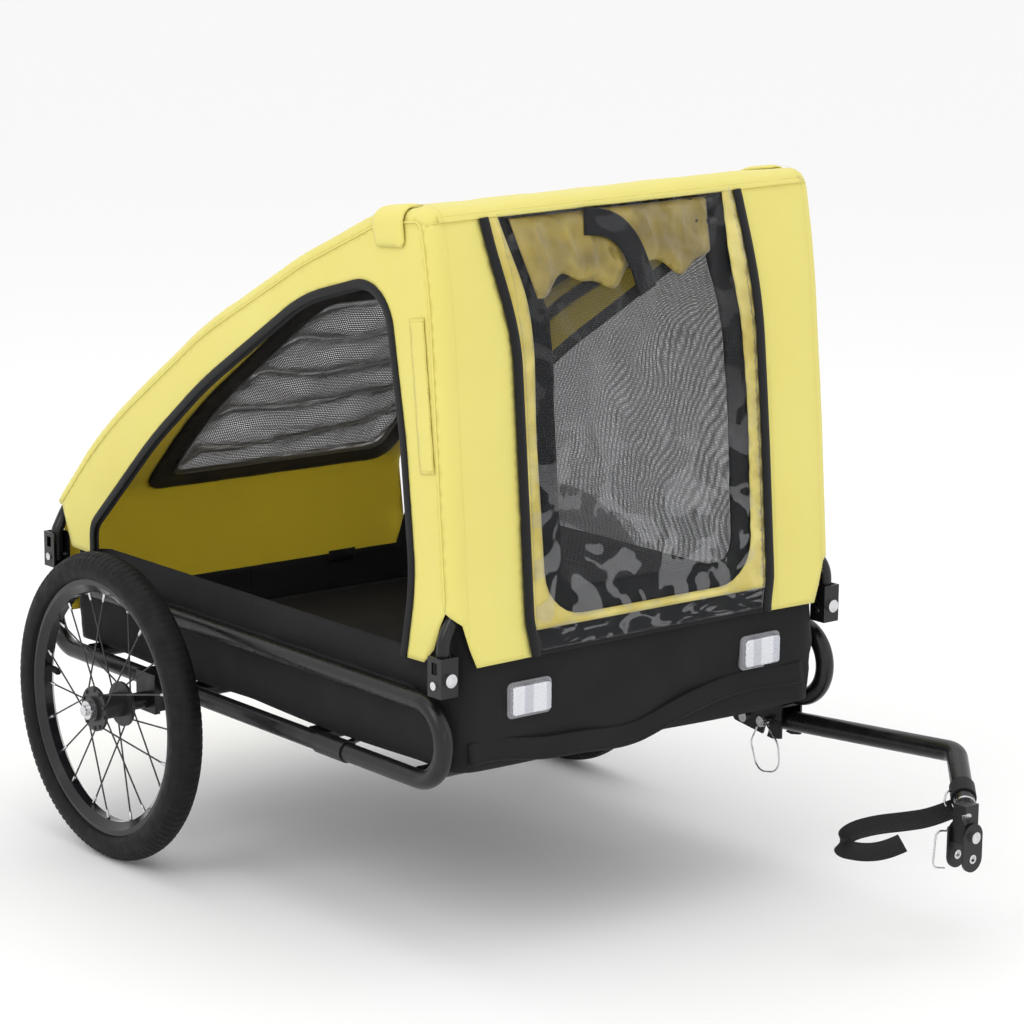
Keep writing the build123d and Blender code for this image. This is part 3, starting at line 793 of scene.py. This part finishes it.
def door_border():
    def place(x, run, depth):
        pucker = 0.0016 * math.sin(run * 210 + 2.0 * creases((x, run, 0), 0.05)) * rise(depth, 0.004)
        return door_skin(x, run, 0.001 + pucker)

    rows = np.linspace(run_at_height(0.393), HEADER + 0.004, 40)
    outline = both_halves([(zip_x(r) - 0.003, r) for r in rows])
    cut("door_border_cloth", outline, place, satin_yellow, "front_door", spacing=0.006,
        holes=[door_loop(0.0)], lining=lining_lit_through, replaced=("door_border",))

    def band(x, run, depth):
        under_shade = 0.0060 * rise(run - run_at_height(0.745), 0.05) * rise(0.168 - abs(x), 0.012)
        return door_skin(x, run, -0.0022 - under_shade + 0.0012 * creases((x, run, 3), 0.03))

    cut("door_binding", door_loop(0.004), band, cloth_black, "front_door",
        holes=[door_loop(-0.030)], thickness=0.0010, spacing=0.007)


def door_net():
    def place(x, run, depth):
        slack = rise(depth, 0.10) * 0.004 * creases((x * 2.5, run, 0), 0.16, 9.0)
        behind_shade = 0.0075 * rise(run - run_at_height(0.735), 0.05)
        return door_skin(x, run, -0.0045 + slack - behind_shade)

    cut("door_net", door_loop(-0.026), place, net_black, "front_door",
        thickness=0.0005, replaced=("door_mesh",))


def shade():
    """Rolled-up satin shade bunched under the header."""
    top = HEADER - 0.002
    low = []
    for x in np.linspace(0.140, -0.140, 60):
        scallop = 0.011 * math.sin(x * 52) + 0.004 * math.sin(x * 120 + 1)
        low.append((float(x), run_at_height(0.786 + 0.06 * x + scallop)))
    outline = [(-0.154, top), (0.154, top)] + low

    def place(x, run, depth):
        fold = sharp_folds((x, run * 0.55, 0), 0.060, 3.0)
        fine = sharp_folds((x, run, 0), 0.020, 5.0)
        return door_skin(x, run, -0.0058 + (0.0075 * fold + 0.0018 * fine) * rise(depth, 0.012))

    # Its darker satin paints the shade inside the cabin.
    cut("rolled_shade", outline, place, satin_shaded_ochre, "front_door", spacing=0.0045,
        lining=lining_lit_through)


def clear_cover():
    def place(x, run, depth):
        ripple = sharp_folds((x * 1.2, run * 0.8, 0), 0.085, 11.0)
        swell = creases((x, run, 0), 0.12, 12.0, 2)
        lift = 0.0038 + rise(depth, 0.02) * (0.0035 * ripple + 0.0028 * swell)
        lift += 0.0050 * rise(run - run_at_height(0.75), 0.05)
        return door_skin(x, run, lift)

    rows = np.linspace(run_at_height(0.369), HEADER + 0.001, 40)
    outline = both_halves([(min(0.181, zip_x(r) - 0.008), r) for r in rows])
    cut("clear_cover", outline, place, film, "front_door",
        spacing=0.0065, thickness=0.0006, replaced=("rain_cover",))


def zips():
    for side in (-1, 1):
        rows = np.linspace(run_at_height(CLOTH_LOW + 0.002), HEADER, 60)
        path = [door_skin(side * zip_x(r), float(r), 0.0030) for r in rows]
        normals = [skin_normal(float(r)) for r in rows]
        name = SIDE_NAMES[side]
        folds_away(swept(f"{name}_zip_flap", path, normals, flat_section(0.0125, 0.0030), tape_black))


def door_strap():
    """Black strap that hangs from the header and holds the rolled shade."""
    spots = [(-0.052, 0.850, 0.0030), (-0.026, 0.848, 0.0060), (-0.002, 0.834, 0.0068),
             (0.014, 0.805, 0.0060), (0.022, 0.764, 0.0)]
    line = [door_skin(x, run_at_height(z), lift) for x, z, lift in spots]
    path = smooth_path(line)
    folds_away(swept("shade_strap", path, [Vector((0.1, -1, 0.1)).normalized()] * len(path),
                     flat_section(0.032, 0.002), tape_black, "front_door"))


def smooth_path(points, order=3):
    """Points along the NURBS line that these control points make."""
    curve = bpy.data.curves.new("route", "CURVE")
    curve.dimensions = "3D"
    curve.resolution_u = 10
    spline = curve.splines.new("NURBS")
    spline.points.add(len(points) - 1)
    for made, p in zip(spline.points, points):
        made.co = (*p, 1)
    spline.order_u = order
    spline.use_endpoint_u = True
    holder = bpy.data.objects.new("route", curve)
    bpy.context.scene.collection.objects.link(holder)
    bpy.context.view_layer.update()
    line = bpy.data.meshes.new_from_object(holder)
    path = [v.co.copy() for v in line.vertices]
    bpy.data.objects.remove(holder)
    return path


door_border()
door_net()
shade()
clear_cover()
zips()
door_strap()


# ---- seams, hems, tabs ----

STITCH, STITCH_GAP = 0.0024, 0.0016


def stitches(name, path, normals):
    """A row of small raised thread stitches."""
    vertices, faces, carried = [], [], 0.0
    for a, b, n in zip(path, path[1:], normals):
        run = (b - a).length
        if run < 1e-6:
            continue
        ahead = (b - a) / run
        across = ahead.cross(n).normalized() * 0.0004
        while carried < run:
            p = a + ahead * carried
            q = p + ahead * STITCH
            m, start = (p + q) / 2, len(vertices)
            vertices += [p, q, m + across, m - across, m + n * 0.0006]
            faces += [(start, start + 2, start + 4), (start + 2, start + 1, start + 4),
                      (start + 1, start + 3, start + 4), (start + 3, start, start + 4),
                      (start, start + 3, start + 2), (start + 2, start + 3, start + 1)]
            carried += STITCH + STITCH_GAP
        carried -= run
    folds_away(build(name, vertices, faces, thread))


def skin_row(x, first, last, lift, count=160):
    rows = np.linspace(first, last, count)
    return [skin(x, float(r), lift) for r in rows], [skin_normal(float(r)) for r in rows]


def seams():
    start, end = run_at_height(0.432), run_at_rear(0.43)
    for side in (-1, 1):
        name = SIDE_NAMES[side]
        path, normals = skin_row(side * HALF_CUT, start, end, 0.0002, 220)
        normals = [Vector((side, 0, 0))] * len(path)
        folds_away(swept(f"{name}_corner_welt", path, normals, round_section(0.0013, 8), cloth_yellow))
        path, normals = skin_row(side * 0.280, run_at_height(0.40), end, 0.0040)
        stitches(f"{name}_corner_stitches", path, normals)
        path, normals = skin_row(side * (ZIP_X + 0.0125), BOTTOM, run_at_height(0.66), 0.0032)
        stitches(f"{name}_zip_stitches", path, normals)


def header_hem():
    """Folded hem of the roof cloth over the door."""
    xs = np.linspace(-0.286, 0.286, 60)
    path = [skin(float(x), HEADER + 0.004, 0.0016 + 0.0005 * math.sin(x * 60)) for x in xs]
    normals = [skin_normal(HEADER + 0.004)] * len(path)
    folds_away(swept("header_hem", path, normals, flat_section(0.009, 0.0014), cloth_yellow))
    path = [skin(float(x), HEADER + 0.006, 0.0034) for x in xs]
    stitches("header_stitches", path, normals)


def corner_tab(side):
    """Small flap that wraps the roof's edge at its front corner."""
    name = SIDE_NAMES[side]
    first, last = run_at_depth(-0.522), run_at_depth(-0.462)

    def place(u, v, depth):
        run = first + u
        base, out = outline_at(run)
        bend = EDGE_R * math.pi / 2
        lift = 0.0040 + 0.0025 * rise(depth, 0.01)
        if v < 0:
            p = base + out * lift
            return pulled(side * (COVER_X - EDGE_R + v), p.x, p.y)
        if v < bend:
            turn = v / EDGE_R
            p = base + out * ((EDGE_R + lift) * math.cos(turn) - EDGE_R)
            return pulled(side * (COVER_X - EDGE_R + (EDGE_R + lift) * math.sin(turn)), p.x, p.y)
        p = base - out * (EDGE_R + v - bend)
        return pulled(side * (COVER_X + lift), p.x, p.y)

    width = last - first
    outline = [(0, -0.014), (width, -0.014), (width, 0.046), (0.006, 0.050), (0, 0.044)]
    cut(f"{name}_corner_tab", outline, place, cloth_yellow, spacing=0.005,
        thickness=0.0018, mirrored=side > 0)


def side_patch(side):
    """Stitched strip behind the front corner, over a stiffener inside."""
    name = SIDE_NAMES[side]
    corners = [(-0.561, 0.761), (-0.582, 0.585), (-0.556, 0.581), (-0.535, 0.757)]

    def place(y, z, depth):
        return pulled(side * (COVER_X + 0.0022 + 0.0008 * rise(depth, 0.005)
                              + 0.0003 * math.sin(z * 170)), y, z)

    cut(f"{name}_side_patch", corners, place, cloth_yellow, spacing=0.005,
        thickness=0.0006, mirrored=side < 0)
    line = divided([Vector(c).lerp(Vector((-0.5585, 0.671)), 0.04) for c in corners + corners[:1]], 0.02)
    path = [pulled(side * (COVER_X + 0.0032), p.x, p.y) for p in line]
    stitches(f"{name}_patch_stitches", path, [Vector((side, 0, 0))] * len(path))


seams()
header_hem()
for side in (-1, 1):
    corner_tab(side)
    side_patch(side)


# ---- black tub ----

TUB_CORNER = 0.028
plan_corners = [(-TUB_X, TUB_FRONT), (TUB_X, TUB_FRONT), (TUB_X, TUB_REAR), (-TUB_X, TUB_REAR)]
plan = divided(rounded(plan_corners, [TUB_CORNER] * 4, 0.008, closed=True), 0.01, True)
half_way = min(range(len(plan)), key=lambda i: (abs(plan[i].x), -plan[i].y))
plan = plan[half_way:] + plan[:half_way]
plan += plan[:1]
plan_runs = runs_along(plan)
plan_x = np.array([p.x for p in plan])
plan_y = np.array([p.y for p in plan])
PLAN_LENGTH = float(plan_runs[-1])


def plan_at(run):
    def spot(r):
        r = r % PLAN_LENGTH
        return Vector((float(np.interp(r, plan_runs, plan_x)), float(np.interp(r, plan_runs, plan_y))))
    ahead = (spot(run + 0.004) - spot(run - 0.004)).normalized()
    return spot(run), Vector((ahead.y, -ahead.x))


def tub_top(x, y):
    """Height of the tub's upper edge: low across the back, raised behind the front brackets."""
    if y > TUB_REAR - 0.02 and abs(x) < 0.27:
        return 0.290
    corner = rise(abs(x) - 0.262, 0.018) * rise(-0.555 - y, 0.02)
    return 0.364 + 0.060 * corner + 0.006 * rise(y + 0.53, 0.03) * rise(0.17 - y, 0.03)


def tub_wall():
    """Hanging cloth wall round the tub."""
    count = 150
    runs = [PLAN_LENGTH * i / count for i in range(count + 1)]
    top = [(r, tub_top(*plan_at(min(r, PLAN_LENGTH - 1e-6))[0])) for r in runs]
    low = [(r, FLOOR_Z + 0.001 - 0.004 * abs(math.sin(r * 9))) for r in runs]
    sign = 1 if plan_at(0.01)[1].y > 0 else -1

    def place(run, z, depth):
        p, out = plan_at(min(run, PLAN_LENGTH - 1e-6))
        belly = math.sin(math.pi * min(1, max(0, (z - FLOOR_Z) / 0.13)))
        push = 0.004 * belly + 0.004 * creases((run, z * 2.4, 0), 0.12, 20.0) * belly
        p = p + out * sign * (push - 0.001)
        return at(p.x, p.y, z)

    cut("tub_wall", low + top[::-1], place, cloth_black, spacing=0.011,
        thickness=0.0016, replaced=("floor_tub",), folding=False,
        mirrored=sign < 0)


def tub_floor():
    """Floor cloth, sagging between the cross tubes."""
    outline = rounded([(p[0] * 0.994, p[1] * 0.994) for p in plan_corners], [TUB_CORNER] * 4, closed=True)

    def place(x, y, depth):
        sag = 0.0022 * math.cos(y * 22) * rise(depth, 0.05)
        folds = 0.0016 * creases((x, y, 0), 0.10, 22.0) * rise(depth, 0.03)
        return at(x, y, FLOOR_Z + 0.0035 + sag + folds)

    cut("tub_floor", outline, place, cloth_black, spacing=0.014, thickness=0.0018,
        folding=False)


def front_hem():
    """Loose folded hem under the front wall, drooping towards the right."""
    xs = np.linspace(-0.272, 0.255, 70)
    path = []
    for x in xs:
        droop = 0.259 - 0.016 * math.exp(-((x + 0.06) / 0.12) ** 2) + 0.018 * rise(x + 0.02, 0.14)
        path.append(at(x, TUB_FRONT - 0.0045 - 0.002 * math.sin(x * 31), droop + 0.0016 * math.sin(x * 47)))
    normals = [Vector((0, -1, 0.15)).normalized()] * len(path)
    swept("front_hem", path, normals, flat_section(0.024, 0.0024), cloth_black)
    ridge = [p + Vector((0, -0.0015, -0.012)) for p in path]
    swept("front_hem_cord", ridge, normals, round_section(0.0028, 8), cloth_black)


def tub_rolls():
    """Cloth rolls that hang the tub from the upper rails."""
    low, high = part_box("upper_rails")
    for side in (-1, 1):
        path = [Vector((side * (TUB_X + 0.0035), y, high.z - 0.006 + 0.0006 * math.sin(y * 70)))
                for y in np.linspace(low.y + 0.02, high.y - 0.02, 50)]
        swept(f"{SIDE_NAMES[side]}_tub_roll", path, [Vector((side, 0, 0))] * len(path),
              round_section(0.0046), cloth_black)


def rear_tab():
    corners = [(0.132, 0.281), (0.178, 0.281), (0.178, 0.296), (0.132, 0.296)]

    def place(x, z, depth):
        return at(x, TUB_REAR - 0.006 - 0.001 * rise(depth, 0.004), z)

    cut("rear_tab", corners, place, tape_black, spacing=0.005, folding=False)


tub_wall()
tub_floor()
front_hem()
tub_rolls()
rear_tab()


def sill_band():
    """Black band under the door that the clear cover hangs over."""
    low, high = run_at_height(0.3625), run_at_height(0.398)
    outline = [(-0.182, low), (0.184, low), (0.183, high), (-0.182, high)]

    def place(x, run, depth):
        return skin(x, run, -0.0012)

    cut("door_sill_band", outline, place, cloth_black, spacing=0.008)


sill_band()


# ---- wheels ----

TYRE_SECTION, TYRE_CENTRE, BED = 0.0215, 0.178, 0.1663
SPOKES, RIM_IN, FLANGE_IN, FLANGE_X = 20, 0.149, 0.025, 0.020


def wheel_point(x, radius, turn):
    """A point at a radius and turn round the axle."""
    return Vector((x, AXLE_Y + radius * math.cos(turn), AXLE_Z + radius * math.sin(turn)))


def treaded_tyre(side):
    """Road tyre with five rows of fine blocks."""
    name = SIDE_NAMES[side]
    around, across_count, blocks = 600, 33, 120
    widest = math.radians(122)
    vertices, faces = [], []
    for i in range(around):
        turn = 2 * math.pi * i / around
        for k in range(across_count):
            angle = -widest + 2 * widest * k / (across_count - 1)
            share = angle / math.radians(60)
            row = math.floor((share + 1) * 2.5)
            in_row = ((share + 1) * 2.5) % 1
            phase = (turn * blocks / (2 * math.pi) + abs(share) * 1.4 + 0.5 * (row % 2)) % 1
            tread = 0.0
            if abs(share) < 1:
                tread = 0.0012 if phase > 0.24 and 0.16 < in_row < 0.9 else 0.0
            rib = 0.0004 * math.cos(angle * 26) if abs(share) > 1.1 else 0.0
            radius = TYRE_SECTION - 0.0007 + tread + rib
            x = side * WHEEL_X + radius * math.sin(angle)
            vertices.append(wheel_point(x, TYRE_CENTRE + radius * math.cos(angle), turn))
        vertices.append(wheel_point(side * WHEEL_X, BED, turn))
    stride = across_count + 1
    for i in range(around):
        j = (i + 1) % around
        for k in range(stride):
            m = (k + 1) % stride
            faces.append((i * stride + k, j * stride + k, j * stride + m, i * stride + m))
    build(f"{name}_treaded_tyre", vertices, faces, tyre_rubber, f"{name}_wheel",
          replaced=(f"{name}_tyre",))


def turned(profile, origin, axis, sides=14):
    """Vertices and faces of a shape turned about an axis: profile holds (along, radius)."""
    axis = axis.normalized()
    u = axis.orthogonal().normalized()
    v = axis.cross(u)
    vertices, faces = [], []
    for along, radius in profile:
        for i in range(sides):
            a = 2 * math.pi * i / sides
            vertices.append(origin + axis * along + (u * math.cos(a) + v * math.sin(a)) * radius)
    for r in range(len(profile) - 1):
        for i in range(sides):
            j = (i + 1) % sides
            faces.append((r * sides + i, r * sides + j, (r + 1) * sides + j, (r + 1) * sides + i))
    faces.append(tuple(reversed(range(sides))))
    faces.append(tuple((len(profile) - 1) * sides + i for i in range(sides)))
    return vertices, faces


def merged(name, shapes, material, body):
    vertices, faces = [], []
    for points, polygons in shapes:
        start = len(vertices)
        vertices += points
        faces += [tuple(start + i for i in f) for f in polygons]
    build(name, vertices, faces, material, body)


def spoke_ends(side):
    """Inner and outer end of each spoke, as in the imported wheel."""
    for i in range(SPOKES):
        flange = 1 if i % 2 else -1
        lacing = math.radians(40 if (i // 2) % 2 else -40)
        rim_turn = 2 * math.pi / SPOKES * i
        yield (wheel_point(side * (WHEEL_X + flange * FLANGE_X), FLANGE_IN, rim_turn + lacing),
               wheel_point(side * (WHEEL_X + flange * 0.0025), RIM_IN, rim_turn))


def wheel_trim(side):
    name = SIDE_NAMES[side]
    nipple = [(0.0, 0.0022), (0.002, 0.0024), (0.009, 0.0020), (0.012, 0.0016)]
    ends = list(spoke_ends(side))
    merged(f"{name}_nipples", [turned(nipple, b, a - b, 8) for a, b in ends], zinc, f"{name}_wheel")
    head = [(-0.0010, 0.0012), (0.0, 0.0026), (0.0016, 0.0026), (0.0026, 0.0012)]
    heads = []
    for i, (a, _) in enumerate(ends):
        out = Vector((side * (1 if i % 2 else -1), 0, 0))
        heads.append(turned(head, a + out * 0.002, out, 8))
    merged(f"{name}_spoke_heads", heads, spoke_black, f"{name}_wheel")
    turn = math.radians(9)
    stem_at = wheel_point(side * WHEEL_X, RIM_IN, turn)
    inward = Vector((0, -math.cos(turn), -math.sin(turn)))
    stem = [(-0.002, 0.0034), (0.012, 0.0034), (0.013, 0.0044), (0.024, 0.0044), (0.026, 0.0036)]
    merged(f"{name}_valve", [turned(stem, stem_at, inward)], tyre_rubber, f"{name}_wheel")


for side in (-1, 1):
    treaded_tyre(side)
    wheel_trim(side)


# ---- hitch strap and its ring ----

STRAP_ROUTE = [(0.226, -0.904, 0.172), (0.204, -0.891, 0.162), (0.177, -0.874, 0.158),
               (0.149, -0.855, 0.155), (0.124, -0.839, 0.148), (0.109, -0.834, 0.138),
               (0.109, -0.843, 0.129), (0.126, -0.861, 0.126), (0.146, -0.877, 0.130),
               (0.161, -0.886, 0.138)]
STRAP_WIDTH = 0.025


def safety_strap():
    """Webbing that leaves the arm's sleeve, folds back on itself and curls up at its tip."""
    path = smooth_path([at(*p) for p in STRAP_ROUTE])
    length = sum((b - a).length for a, b in zip(path, path[1:]))
    w, t = STRAP_WIDTH / 2, 0.0009
    section = [(-w, -t), (w, -t), (w * 1.02, -t * 0.3), (w * 1.02, t * 0.3), (w, t), (-w, t),
               (-w * 1.02, t * 0.3), (-w * 1.02, -t * 0.3)]
    normals = []
    for i, p in enumerate(path):
        before, after = path[max(i - 1, 0)], path[min(i + 1, len(path) - 1)]
        ahead = (after - before).normalized()
        share = i / (len(path) - 1)
        lean = 0.15 + 0.75 * rise(share - 0.55, 0.2)
        width = (Vector((0, 0, 1)) - ahead * ahead.z).normalized()
        flat = width.cross(ahead)
        width = width * math.cos(lean) + flat * math.sin(lean)
        normals.append(ahead.cross(width).normalized())
    piece = swept("safety_strap_webbing", path, normals, section, strap_black, "tow_arm",
                  replaced=("safety_strap",))
    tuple(path[0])


def d_ring():
    """Bright D-ring on the arm's webbing sleeve."""
    centre = middle("strap_collar") + Vector((-0.021, 0.004, -0.004))
    path = []
    for i in range(28):
        a = 2 * math.pi * i / 28
        path.append(centre + Vector((0.010 * math.cos(a), 0.004 * math.cos(a), 0.009 * math.sin(a))))
    swept("strap_d_ring", path, [Vector((0.3, -1, 0)).normalized()] * 28, round_section(0.0013, 8), zinc,
          "tow_arm", closed=True)


safety_strap()
d_ring()


# ---- studio ----

def studio():
    scene = bpy.context.scene
    scene.view_settings.view_transform = "Standard"
    world = bpy.data.worlds.new("studio")
    scene.world = world
    world.use_nodes = True
    background = world.node_tree.nodes["Background"]
    background.inputs["Color"].default_value = (1, 1, 1, 1)
    background.inputs["Strength"].default_value = 1.0
    mesh = bpy.data.meshes.new("floor")
    half = 40.0
    corners = [(-half, -half, 0), (half, -half, 0), (half, half, 0), (-half, half, 0)]
    mesh.from_pydata(corners, [], [(0, 1, 2, 3)])
    floor = bpy.data.objects.new("floor", mesh)
    scene.collection.objects.link(floor)
    pale = Finish("pale_floor", (0.94, 0.94, 0.94), 0.85, Specular_IOR_Level=0.1)
    pale.vary_roughness(pale.cloud(2.0), 0.05)
    mesh.materials.append(pale.material)
    middle_of_cabin, rear_of_floor = (0, 0, 0.45), (0.1, 0.2, 0.3)
    lamps = (("key", (-3.4, -0.6, 3.2), middle_of_cabin, 2.2, 34),
             ("fill", (2.6, -3.4, 2.2), middle_of_cabin, 2.6, 8),
             ("top", (0.3, 0.8, 4.0), middle_of_cabin, 3.0, 20),
             ("strip", (-1.0, -4.2, 1.3), middle_of_cabin, 0.8, 5),
             ("inside", (-0.02, 0.02, 0.62), rear_of_floor, 0.22, 0.55))
    for name, place, target, size, power in lamps:
        light = bpy.data.lights.new(name, "AREA")
        light.size, light.energy = size, power
        lamp = bpy.data.objects.new(name, light)
        lamp.location = place
        aim = Vector(target) - Vector(place)
        lamp.rotation_euler = aim.to_track_quat("-Z", "Y").to_euler()
        scene.collection.objects.link(lamp)


studio()
